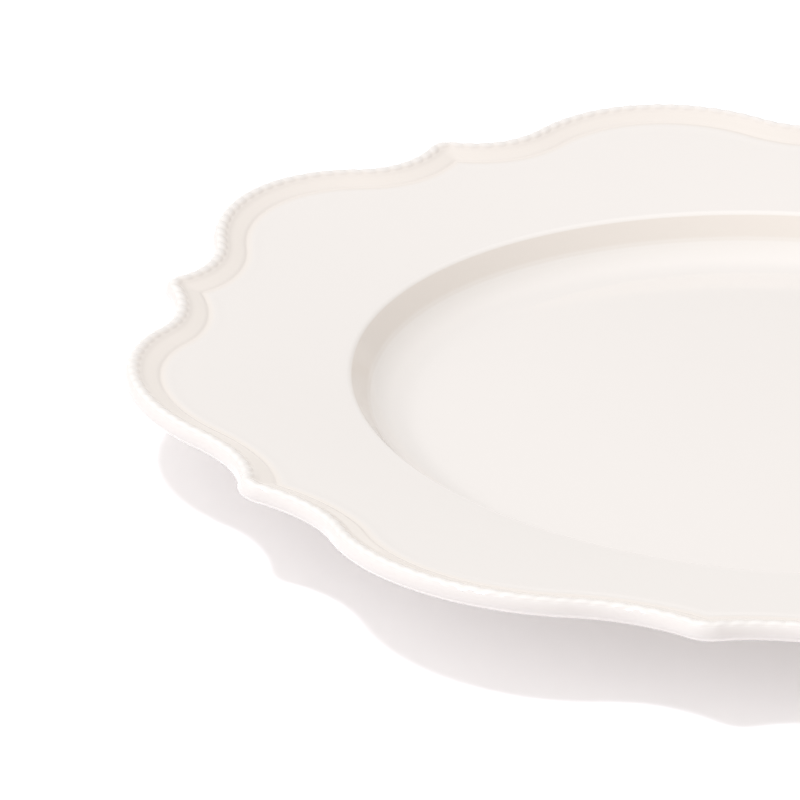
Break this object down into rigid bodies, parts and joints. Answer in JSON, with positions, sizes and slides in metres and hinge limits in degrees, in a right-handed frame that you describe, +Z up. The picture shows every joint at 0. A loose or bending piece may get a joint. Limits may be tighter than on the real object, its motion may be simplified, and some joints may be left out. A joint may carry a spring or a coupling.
{
  "type": "serving platter",
  "caption": "Round scalloped china serving platter with a flat well, a coved wall, a sloping marly, a fine bead border along the lip and a foot ring.",
  "frame": {"origin": "centre of the foot ring, on the plane the platter rests on", "axes": "+Z up out of the well; +X towards the middle of one lobe of the rim"},
  "size_m": [0.31, 0.31, 0.0261],
  "materials": {
    "glaze": "gloss warm ivory glaze",
    "foot": "bare fired clay, ground flat"
  },
  "bodies": {
    "root": {"well_floor": "glaze", "well_wall": "glaze", "shoulder": "glaze", "marly": "glaze", "rim_step": "glaze", "rim_channel": "glaze", "lip": "glaze", "beads_1": "glaze", "beads_2": "glaze", "beads_3": "glaze", "beads_4": "glaze", "beads_5": "glaze", "beads_6": "glaze", "beads_7": "glaze", "beads_8": "glaze", "foot_ring": "foot"}
  },
  "joints": []
}
